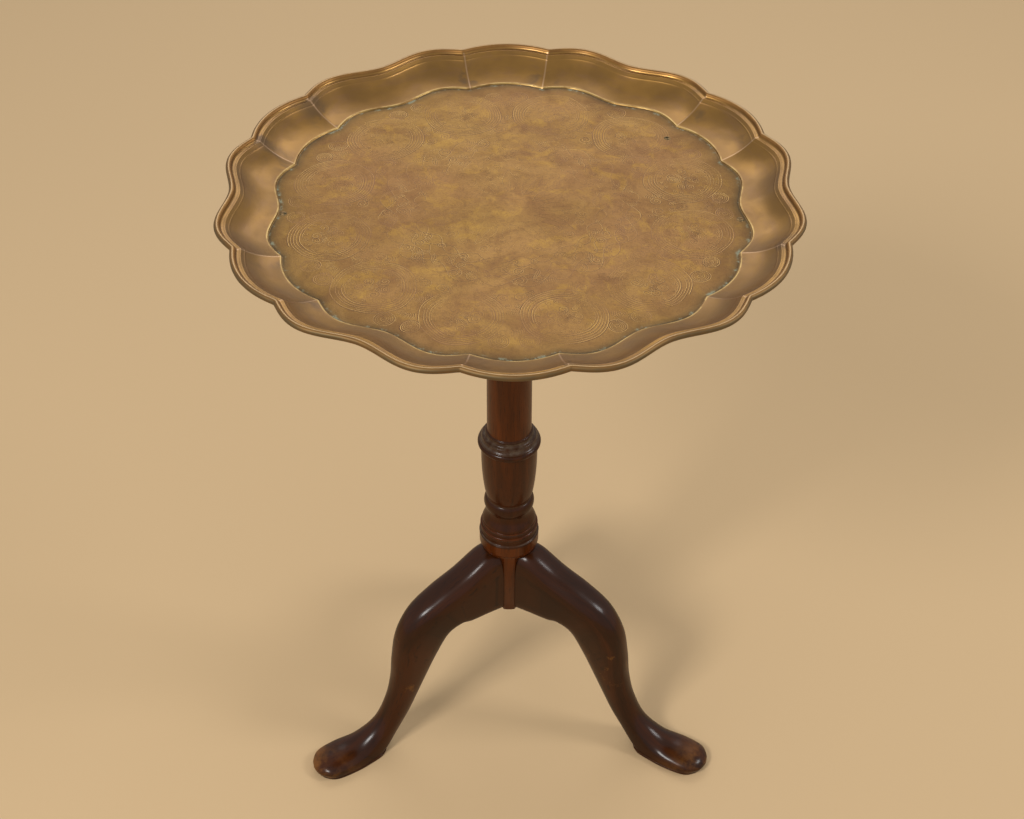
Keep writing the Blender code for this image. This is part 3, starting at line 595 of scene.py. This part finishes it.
class Pattern:
    """Collects (line, width) pairs in mm on the floor, repeated round the middle."""

    def __init__(self):
        self.lines = []
        self.draw = np.random.default_rng(5)

    def repeat(self, line, times, width, offset=0.0, mirror=False):
        """The line turned evenly round the middle, a number of times."""
        for k in range(times):
            turned = turned_about_centre(line, offset + 360.0 * k / times, mirror)
            self.lines.append((turned, width))

    def both(self, line, times, width, offset=0.0):
        """The line and its mirror image, repeated."""
        self.repeat(line, times, width, offset)
        self.repeat(line, times, width, offset, True)

    def hatch(self, x, y, direction, count, length, gap, times, offset=0.0):
        """Short parallel strokes on either side of a sector's middle line."""
        d = math.radians(direction)
        along = np.array([math.cos(d), math.sin(d)])
        across = np.array([-math.sin(d), math.cos(d)])
        for k in range(count):
            start = np.array([x, y]) + (k - count / 2) * gap * across
            bow = 0.15 * length * across
            stroke = [start, start + 0.35 * length * along + bow,
                      start + 0.7 * length * along + bow, start + length * along]
            self.both(np.array(stroke), times, HAIR, offset)

    def roundel(self, place):
        """One of the twelve roundels, drawn freely: banded border, curls, leafy middle."""
        draw, centre = self.draw, ROUNDEL_CENTRE
        for shrink, width in ((0.0, BOLD), (2.3, FINE), (4.6, FINE), (6.9, FINE), (9.6, BOLD),
                              (11.8, FINE)):
            start, sweep = draw.uniform(0, 360), draw.uniform(290, 385)
            ring = circle(centre, 0, ROUNDEL_RADIUS - shrink, 96, start, sweep)
            self.repeat(ring, 1, width, place)
        for k in range(16):
            a = math.radians(22.5 * k + draw.uniform(-3, 3))
            x, y = centre + 21.6 * math.cos(a), 21.6 * math.sin(a)
            self.repeat(spiral(x, y, 2.6, 0.6, math.degrees(a), 1.2, 20), 1, HAIR, place)
        curls = int(draw.integers(5, 8))
        for k in range(curls):
            turn = 360.0 * (k + draw.uniform(0.2, 0.8)) / curls
            a = math.radians(turn)
            far = draw.uniform(10.0, 14.0)
            x, y = centre + far * math.cos(a), far * math.sin(a)
            wind = draw.uniform(1.4, 2.3) * (1 if draw.random() < 0.6 else -1)
            curl = spiral(x, y, draw.uniform(4.2, 6.4), 0.8, turn + 180.0, wind, 54)
            self.repeat(curl, 1, FINE, place)
            for line in leaf(centre + 2.4 * math.cos(a), 2.4 * math.sin(a), turn + 40.0,
                             draw.uniform(6.0, 10.0), 1.6):
                self.repeat(line, 1, HAIR, place)

    def outer_gaps(self):
        """Pairs of small rounds and fans of strokes between the roundels and the wall."""
        for radius, width in ((8.2, BOLD), (6.4, FINE), (4.8, HAIR)):
            self.both(circle(193.0, 12.2, radius, 40), 12, width)
        self.both(spiral(193.0, 12.2, 3.6, 0.7, 200, 1.6, 40), 12, FINE)
        self.hatch(176.0, 2.6, 20, 5, 7.5, 2.0, 12)
        self.hatch(187.0, 3.2, 70, 4, 6.0, 2.0, 12)

    def inner_gaps(self):
        """Curls and strokes that fill the border up to the middle band."""
        self.both(spiral(134.5, 7.4, 6.4, 0.9, 90, 1.9, 54), 12, FINE)
        self.both(spiral(147.0, 4.4, 3.6, 0.7, 0, 1.6, 36), 12, FINE)
        self.hatch(151.0, 1.2, 12, 4, 9.0, 1.9, 12)
        self.hatch(136.0, 13.0, 100, 5, 6.5, 2.0, 12)
        self.hatch(127.0, 12.0, 60, 5, 6.0, 2.0, 12)

    def middle_band(self):
        """Crossing stems with curls, leaves and strokes."""
        t = np.linspace(0, 1, 300)
        for radius, swing, beats, phase in ((112.0, 8.0, 12, 0.0), (110.0, 8.0, 12, np.pi),
                                            (97.0, 5.0, 24, 1.2), (84.0, 6.0, 12, 0.4),
                                            (82.0, 6.0, 12, 3.5)):
            r = radius + swing * np.sin(beats * TAU * t + phase)
            stem = np.stack([r * np.cos(TAU * t), r * np.sin(TAU * t)], 1)
            self.lines.append((stem, FINE))
        self.both(spiral(110.0, 9.0, 7.4, 0.9, 200, 2.1, 70), 12, FINE, 7.5)
        self.both(spiral(96.0, 6.0, 5.4, 0.8, 20, -1.9, 54), 12, FINE)
        self.both(spiral(84.0, 9.4, 4.6, 0.8, 120, 1.7, 48), 12, FINE, 7.5)
        for line in leaf(98.0, 3.0, 35, 13, 2.2):
            self.both(line, 12, FINE, 15.0)
        self.hatch(118.0, 3.0, 160, 5, 7.0, 2.0, 12, 15.0)
        self.hatch(104.0, 12.0, 70, 5, 6.5, 2.0, 12)
        self.hatch(88.0, 2.0, 100, 5, 6.0, 2.0, 12)

    def worn_middle(self):
        """The middle is worn to a few hairlines."""
        for line in leaf(24.0, 0, 0, 40, 7.0):
            self.repeat(line, 12, HAIR)
        self.both(spiral(66.0, 7.0, 6.2, 0.8, 180, 1.8, 48), 12, HAIR, 15.0)
        self.both(spiral(52.0, 5.0, 4.6, 0.7, 0, 1.6, 40), 12, HAIR, 15.0)


def engraved_lines():
    """The whole pattern: roundels, the gaps round them, a middle band and the middle."""
    pattern = Pattern()
    for sector in range(12):
        pattern.roundel(15.0 + 30.0 * sector)
    pattern.outer_gaps()
    pattern.inner_gaps()
    pattern.middle_band()
    pattern.worn_middle()
    return pattern.lines


def hand_drawn(line):
    """The line pushed about a little, so that no figure is mechanically true."""
    x, y = line[:, 0], line[:, 1]
    sway = np.stack([np.sin(0.083 * x + 0.061 * y) + 0.3 * np.sin(0.21 * y - 0.12 * x),
                     np.sin(0.071 * y - 0.094 * x) + 0.3 * np.sin(0.19 * x + 0.15 * y)], 1)
    return line + 0.9 * sway


def polish_wear(line):
    """How much of a line's width is left, from 0.15 where the tray was rubbed to 1.15."""
    x, y = line[:, 0], line[:, 1]
    patches = (np.sin(0.047 * x + 0.9) * np.sin(0.041 * y + 0.4)
               + 0.6 * np.sin(0.11 * x - 0.07 * y) + 0.4 * np.sin(0.21 * y + 0.19 * x))
    middle = np.clip((np.hypot(x, y) - 45.0) / 60.0, 0.0, 1.0)
    return np.clip(0.50 + 0.35 * middle + 0.38 * patches, 0.15, 1.15)


def build_engraving():
    """Each line is a low ridge on the floor: a broad dark flank and a narrow bright one."""
    points, faces, looks = [], [], []
    for line, width in engraved_lines():
        line = hand_drawn(line)
        step = np.gradient(line, axis=0)
        step /= np.maximum(np.linalg.norm(step, axis=1), 1e-9)[:, None]
        side = np.stack([-step[:, 1], step[:, 0]], 1) * (polish_wear(line) * width / 2)[:, None]
        base = len(points)
        for p, s in zip(line, side):
            ridge = p + 0.3 * s
            points += [(*(p - s), FLOOR_Z + LINE_LIFT),
                       (*ridge, FLOOR_Z + LINE_LIFT + LINE_RIDGE),
                       (*(p + s), FLOOR_Z + LINE_LIFT)]
        for i in range(len(line) - 1):
            for flank in range(2):
                a = base + 3 * i + flank
                faces.append((a + 1, a, a + 3, a + 4))
                looks.append(flank)
    engraving = make_object("tray_engraving", points, faces, ["groove", "burr"], looks)
    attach(engraving, "top")


# ---- pillar ----------------------------------------------------------------------------
GAP = 0.3                       # clearance between faces that meet
TENON_RADIUS = 13.0
HUB_RADIUS = 29.8
LEG_WIDTH = 44.6                # the legs where they meet the hub
KEY_WIDTH, KEY_REACH = 16.6, 10.0   # slot for a leg's key, and where it ends from the axis
CUT_LENGTH = 30.0
# distance from the pillar's axis to the flat seats of the legs
SHOULDER = math.sqrt(HUB_RADIUS ** 2 - (LEG_WIDTH / 2) ** 2)
LEG_AZIMUTHS = {"left": -150.0, "right": -30.0, "back": 90.0}
HUB_TOP = leg_high[2] + 1.0


def pillar_profile():
    """(radius, height, dustiness) down the turning."""
    top = BLOCK_BOTTOM - GAP
    parts = [
        (0.0, [(0.0, BLOCK_TOP - GAP), (TENON_RADIUS - 0.6, BLOCK_TOP - GAP),
               (TENON_RADIUS, BLOCK_TOP - 0.9), (TENON_RADIUS, top), (20.0, top),
               (20.5, top - 0.5)]),
        (0.0, catmull([(20.5, top - 1), (21.4, 560), (22.4, 480), (22.7, 408), (22.8, 402.2)], 6)),
        (0.5, [(23.1, 401.4), *arc((23.2, 400.2), 1.1, 80, -50, 6)]),
        (0.95, catmull([(23.9, 398.6), (24.1, 397.0), (25.0, 395.4), (26.6, 394.6)], 4)),
        (0.7, [(27.2, 394.5), (27.7, 394.1), (27.9, 393.4)]),
        (0.95, catmull([(28.0, 392.6), (28.6, 391.2), (29.7, 389.9)], 4)),
        (0.6, [(30.3, 389.6), (30.7, 389.0), (30.7, 388.4)]),
        (0.25, arc((28.4, 384.6), 3.9, 62, -62, 14)),
        (0.4, [(29.6, 380.7), (28.9, 380.1)]),
        (0.14, catmull([(28.5, 379.0), (28.8, 373), (28.8, 364), (28.4, 350), (27.3, 334),
                       (25.5, 319), (23.9, 312.6), (23.1, 310.4)], 4)),
        (0.6, [(23.2, 309.8), (23.6, 309.2), (23.6, 308.4)]),
        (0.25, catmull([(23.9, 308.2), (25.3, 306.2), (26.2, 303.0), (26.3, 299.6),
                        (25.5, 296.4), (24.1, 294.2), (23.2, 293.2)], 4)),
        (0.18, catmull([(22.9, 292.2), (22.8, 290.4), (23.3, 287.4), (24.6, 284.0),
                        (26.3, 280.6), (27.6, 277.8), (28.1, 275.8)], 4)),
        (0.4, [(27.8, 275.5), (27.8, 275.2)]),
        (0.1, arc((27.6, 274.1), 1.2, 70, -70, 8)),
        (0.9, [(27.9, 272.7), (27.9, 272.2)]),
        (0.2, catmull([(28.2, 271.8), (28.6, 270.8), (28.9, 269.6)], 3)),
        (0.1, arc((28.9, 267.8), 1.7, 70, -70, 8)),
        (0.7, [(29.2, 265.8), (29.2, 265.2)]),
        (0.2, catmull([(29.5, 264.6), (29.8, 262.6), (29.6, 260.6), (29.8, 259.4)], 4)),
        (1.0, [(30.2, 258.9), (31.0, 258.6)]),
        (0.3, [(31.4, 258.4), (31.7, 257.9), (31.7, 257.2)]),
        (0.0, [(31.6, 256.0), (31.5, 250.0), *arc((29.7, 245.0), 1.8, 5, -60, 5),
               (HUB_RADIUS, HUB_TOP), (HUB_RADIUS, HUB_TOP - 4.0)]),
        (0.0, [(HUB_RADIUS, HUB_BOTTOM + 0.6), (HUB_RADIUS - 0.6, HUB_BOTTOM),
               (0.0, HUB_BOTTOM)]),
    ]
    return [(r, z, dust) for dust, piece in parts for r, z in piece]


def boolean(obj, cutter):
    """Cut the cutter's volume out of an object."""
    modifier = obj.modifiers.new(cutter.name, "BOOLEAN")
    modifier.object = cutter
    modifier.operation = "DIFFERENCE"


def apply_modifiers(obj):
    """Keep the shape that an object's modifiers make, and remove them."""
    bpy.context.view_layer.update()
    graph = bpy.context.evaluated_depsgraph_get()
    mesh = bpy.data.meshes.new_from_object(obj.evaluated_get(graph),
                                           preserve_all_data_layers=True, depsgraph=graph)
    obj.modifiers.clear()
    obj.data = mesh


def box_cutter(name, size, centre, azimuth):
    """A box to cut with, its first side along an azimuth."""
    bm = bmesh.new()
    bmesh.ops.create_cube(bm, size=1.0)
    bmesh.ops.scale(bm, vec=[v * MM for v in size], verts=bm.verts)
    mesh = bpy.data.meshes.new(name)
    bm.to_mesh(mesh)
    bm.free()
    obj = bpy.data.objects.new(name, mesh)
    obj.location = Vector(centre) * MM
    obj.rotation_euler.z = math.radians(azimuth)
    bpy.context.scene.collection.objects.link(obj)
    return obj


def leg_cutters():
    """For each leg, the flat seat on the hub and the slot for the leg's key."""
    cutters = []
    height = HUB_TOP - HUB_BOTTOM + 4.0
    for name, azimuth in LEG_AZIMUTHS.items():
        for kind, start, width, top in (("seat_", SHOULDER - GAP, LEG_WIDTH + 0.5, HUB_TOP - 0.4),
                                        ("slot_", KEY_REACH, KEY_WIDTH, HUB_TOP - 8.0)):
            a = math.radians(azimuth)
            radius = start + CUT_LENGTH / 2
            centre = (radius * math.cos(a), radius * math.sin(a), top - height / 2)
            cutters.append(box_cutter(kind + name, (CUT_LENGTH, width, height), centre, azimuth))
    return cutters


def turned_mesh(profile, steps):
    """Points and faces of a closed turning, from the top of its profile to the bottom."""
    a = np.linspace(0.0, TAU, steps, endpoint=False)
    rings = [np.stack([r * np.cos(a), r * np.sin(a), np.full(steps, z)], 1)
             for r, z, _ in profile[1:-1]]
    points = np.vstack([*rings, [[0, 0, profile[0][1]], [0, 0, profile[-1][1]]]])
    rows = len(rings)
    faces = [tuple(reversed(f)) for f in grid_faces(rows, steps)]
    top, bottom = rows * steps, rows * steps + 1
    faces += [(j, (j + 1) % steps, top) for j in range(steps)]
    last = (rows - 1) * steps
    faces += [(last + (j + 1) % steps, last + j, bottom) for j in range(steps)]
    return points, faces


def build_pillar(steps=96):
    """The turning, cut for the three legs."""
    profile = pillar_profile()
    pillar = make_object("turned_pillar", *turned_mesh(profile, steps), ["pillar"])
    dust = [d for _, _, d in profile[1:-1]]
    add_attribute(pillar, "hollow", np.append(np.repeat(dust, steps), [0.0, 0.0]))
    cutters = leg_cutters()
    for cutter in cutters:
        boolean(pillar, cutter)
    apply_modifiers(pillar)
    for cutter in cutters:
        bpy.data.objects.remove(cutter)
    pillar.data.set_sharp_from_angle(angle=math.radians(50))
    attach(pillar, "root")
    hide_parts("column")


# ---- legs ---------------------------------------------------------------------------------
# A leg is lofted through fifteen stations.  The crown and the underside are (distance from
# the pillar's axis, height); the powers bend each half of a section from round to square.
LEG_ROOT = 159.5                # height of the underside where the leg meets the hub
SPAN_STEPS = 7                  # sections from one station to the next
LEG_CROWN = [(SHOULDER, 240.0), (34, 237.5), (60, 222), (92, 207.5), (120.5, 190.5),
             (138.5, 165), (146, 131), (149.5, 99), (157, 69), (172, 40), (198, 22.5),
             (222, 18.5), (240, 16), (248.6, 11.5), (TOE_RADIUS, 7.5)]
LEG_UNDER = [(SHOULDER, LEG_ROOT), (36, LEG_ROOT), (58, LEG_ROOT), (70, 161.5), (84, 151.5),
             (97, 123), (108, 97), (119.5, 71), (134.5, 42), (155.5, 14), (180, 0), (206, 0),
             (232, 0), (243, 0), (247, 0)]
LEG_HALF_WIDTH = [22.3, 22.0, 21.7, 21.4, 20.4, 18.2, 16.4, 15.0, 14.0, 15.0, 19.0, 22.0,
                  20.5, 13.0, 6.0]
SOLE_THICKNESS = 3.0
SOLE_MARGIN = 0.3               # how far the sole stands out past the foot
SOLE_HEEL = (0.55, 0.78, 0.91, 0.98)    # width shares that round the sole's back end
SOLE_START = 10                 # station where the foot comes down onto the sole
FOOT_CLEARANCE = 0.5            # lowest height of the leg's own mesh
CROWN_POWER = [2.9, 2.9, 2.8, 2.7, 2.6, 2.5, 2.3, 2.2, 2.1, 2.0, 2.0, 2.0, 2.0, 2.0, 2.0]
SIDE_POWER = [9.0, 8.5, 8.0, 7.0, 4.5, 3.2, 2.6, 2.2, 2.2, 2.6, 7.0, 7.0, 7.0, 7.0, 7.0]


def signed_power(values, exponent):
    """The power of each value's size, with its sign kept."""
    return np.sign(values) * np.abs(values) ** exponent


def leg_rings(angles):
    """Sections of a leg that points along +X, from the hub to the toe."""
    low, high = catmull(LEG_UNDER, SPAN_STEPS), catmull(LEG_CROWN, SPAN_STEPS)
    low[:, 1] = np.maximum(low[:, 1], FOOT_CLEARANCE)
    columns = np.column_stack([LEG_HALF_WIDTH, CROWN_POWER, SIDE_POWER])
    half_width, crown_power, side_power = catmull(columns, SPAN_STEPS).T
    upper = np.sin(angles) > 0
    rings = []
    for i in range(len(low)):
        exponent = 2.0 / np.where(upper, crown_power[i], max(side_power[i], 2.0))
        across = half_width[i] * signed_power(np.cos(angles), exponent)
        up = signed_power(np.sin(angles), exponent)
        middle, half = (low[i] + high[i]) / 2, (high[i] - low[i]) / 2
        rings.append(np.stack([middle[0] + half[0] * up, across, middle[1] + half[1] * up], 1))
    middles = (low + high) / 2
    steps = np.linalg.norm(np.diff(middles, axis=0), axis=1)
    return rings, np.append(0.0, np.cumsum(steps))


def add_grain(leg, travelled, angles):
    """UV map with the grain running along the leg, for its wood."""
    grain = leg.data.uv_layers.new(name="grain")
    girth = 0.05 * np.abs(np.cos(angles / 2))
    for loop in leg.data.loops:
        row, column = divmod(loop.vertex_index, len(angles))
        grain.data[loop.index].uv = (travelled[row] * MM, girth[column])


def build_leg(name, azimuth, sides=56):
    """One cabriole leg, from its flat shoulder against the hub to the toe."""
    angles = TAU * (np.arange(sides) + 0.5) / sides
    rings, travelled = leg_rings(angles)
    rows = len(rings)
    faces = grid_faces(rows, sides)
    faces += [tuple(reversed(range(sides))), tuple(range((rows - 1) * sides, rows * sides))]
    points = np.vstack(rings) @ turn_about_z(azimuth)
    leg = make_object("cabriole_leg_" + name, points, faces, ["leg"])
    add_attribute(leg, "along", np.repeat(travelled / travelled[-1], sides))
    add_grain(leg, travelled, angles)
    leg.data.set_sharp_from_angle(angle=math.radians(48))
    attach(leg, "root")
    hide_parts("leg_" + name)


def sole_outline():
    """Plan of the sole under a foot that points along +X."""
    columns = np.column_stack([LEG_UNDER, LEG_HALF_WIDTH])
    distance, _, half_width = catmull(columns, SPAN_STEPS).T
    first = SOLE_START * SPAN_STEPS - len(SOLE_HEEL)
    distance, half_width = distance[first:], half_width[first:] + SOLE_MARGIN
    half_width[: len(SOLE_HEEL)] *= SOLE_HEEL
    right = np.column_stack([distance, half_width])
    nose = np.array([[distance[-1] + 1.0, 0.0]])
    return np.vstack([right, nose, (right * (1, -1))[::-1]])


def build_sole(name, azimuth):
    """The thin pad under a foot, whose upper edge shows as a line round the foot."""
    outline = sole_outline()
    middle = outline.mean(axis=0)
    levels = ((0.985, 0.0), (1.0, 0.5), (1.0, SOLE_THICKNESS - 0.5), (0.985, SOLE_THICKNESS))
    points = [(*(middle + (p - middle) * grow), z) for grow, z in levels for p in outline]
    count = len(outline)
    faces = grid_faces(len(levels), count)
    faces += [tuple(reversed(range(count))), tuple(range(3 * count, 4 * count))]
    points = np.array(points) @ turn_about_z(azimuth)
    sole = make_object("foot_sole_" + name, points, faces, ["sole"])
    sole.data.set_sharp_from_angle(angle=math.radians(60))
    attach(sole, "root")


# ---- CAD nodes that keep their shape --------------------------------------------------------
WOOD_EDGE, METAL_EDGE = 0.8, 0.15   # widths of the softened edges
REPLACED = {"brass_tray", "column", "leg_left", "leg_right", "leg_back"}
NODE_LOOKS = {                      # by how a node's name starts; all others are brass
    "tray_backing_board": "board",
    "bearer": "board",
    "pivot_block": "block",
    "tenon_wedge": "block",
    "spider_plate": "iron",
    "bearer_screw": "steel",
    "spider_screw": "steel",
    "tray_screw": "tray_screw",
}


def soften_edges(node, width):
    """A narrow round bevel on a CAD node's sharp edges, as a modifier."""
    bevel = node.modifiers.new("softened_edges", "BEVEL")
    bevel.width = width * MM
    bevel.segments = 3
    bevel.limit_method = "ANGLE"
    bevel.angle_limit = math.radians(40)


def finish_cad_nodes():
    """Give every CAD node that still shows its material and softened edges."""
    for name, node in frame["nodes"].items():
        if name in REPLACED:
            continue
        fits = [start for start in NODE_LOOKS if name.startswith(start)]
        look = NODE_LOOKS[max(fits, key=len)] if fits else "fitting"
        if not node.data.materials:
            node.data.materials.append(None)
        for slot in node.material_slots:
            slot.material = materials[look]
        soften_edges(node, WOOD_EDGE if look in ("board", "block") else METAL_EDGE)


# ---- build --------------------------------------------------------------------------------------
build_tray()
build_engraving()
build_pillar()
for side, azimuth in LEG_AZIMUTHS.items():
    build_leg(side, azimuth)
    build_sole(side, azimuth)
finish_cad_nodes()


# ---- room: floor, lights, camera ----------------------------------------------------------------
STUDIO_REACH = 6.0              # metres from the middle to the floor's edges


def build_floor():
    mesh = bpy.data.meshes.new("studio_floor")
    size = STUDIO_REACH
    mesh.from_pydata([(-size, -size, 0), (size, -size, 0), (size, size, 0), (-size, size, 0)],
                     [], [(0, 1, 2, 3)])
    floor = bpy.data.objects.new("studio_floor", mesh)
    bpy.context.scene.collection.objects.link(floor)
    material = bpy.data.materials.new("pale_floor")
    material.use_nodes = True
    shader = material.node_tree.nodes["Principled BSDF"]
    shader.inputs["Base Color"].default_value = rgb(206, 176, 134)
    shader.inputs["Roughness"].default_value = 0.9
    mesh.materials.append(material)


def area_light(name, place, target, size, power, colour=(1.0, 1.0, 1.0)):
    """A rectangular softbox at a place, turned towards the target."""
    light = bpy.data.lights.new(name, "AREA")
    light.shape = "RECTANGLE"
    light.size, light.size_y = size
    light.energy = power
    light.color = colour
    obj = bpy.data.objects.new(name, light)
    obj.location = place
    aim = Vector(target) - Vector(place)
    obj.rotation_euler = aim.to_track_quat("-Z", "Y").to_euler()
    bpy.context.scene.collection.objects.link(obj)


def build_lights():
    """An even pale room with three softboxes: left front, right, and behind."""
    world = bpy.data.worlds.new("studio")
    world.use_nodes = True
    background = world.node_tree.nodes["Background"]
    background.inputs["Color"].default_value = (1.0, 0.985, 0.96, 1.0)
    background.inputs["Strength"].default_value = 0.52
    bpy.context.scene.world = world
    middle = (0.0, 0.0, 0.4)
    area_light("key_front_left", (-1.5, -1.65, 2.4), middle, (0.7, 0.7), 42.0, (1.0, 0.98, 0.95))
    area_light("fill_right", (2.3, -0.25, 2.2), middle, (0.7, 0.7), 20.0)
    area_light("overhead_back", (0.05, 2.2, 2.4), middle, (2.2, 1.2), 15.0)


def build_camera():
    """Standing in front, looking down at about 41 degrees."""
    data = bpy.data.cameras.new("camera")
    data.sensor_width = 36.0
    data.lens = 57.7
    data.clip_end = 20.0
    camera = bpy.data.objects.new("camera", data)
    camera.location = (-0.0232, -1.2376, 1.5086)
    camera.rotation_euler = [math.radians(a) for a in (48.81, -0.18, -1.04)]
    bpy.context.scene.collection.objects.link(camera)
    bpy.context.scene.camera = camera


build_floor()
build_lights()
build_camera()
bpy.context.scene.view_settings.view_transform = "Standard"
